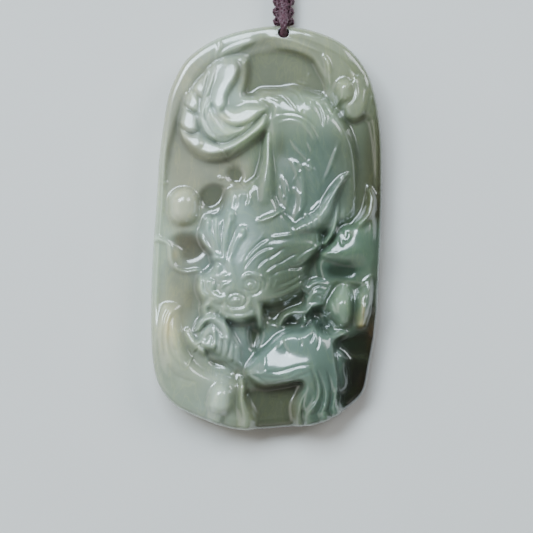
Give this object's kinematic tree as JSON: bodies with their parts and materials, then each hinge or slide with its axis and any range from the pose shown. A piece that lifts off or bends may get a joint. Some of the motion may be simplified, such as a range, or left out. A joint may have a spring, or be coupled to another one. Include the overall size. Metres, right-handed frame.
{
  "type": "jade dragon pendant on a cord",
  "caption": "Carved jade plaque pendant with a dragon in relief, on a knotted neck cord that passes through a bore at its top.",
  "frame": {"origin": "middle of the plaque's flat back", "axes": "+X across the plaque, +Y up it towards the cord, +Z out of the carved face"},
  "size_m": [0.1334, 0.3418, 0.0091],
  "materials": {
    "jade": "high polish",
    "cord": "braided waxed cord"
  },
  "bodies": {
    "root": {"jade_plaque": "jade", "hanging_strand": "cord", "knotted_stem": "cord", "neck_cord_left": "cord", "neck_cord_right": "cord", "nape_knot": "cord"}
  },
  "joints": []
}
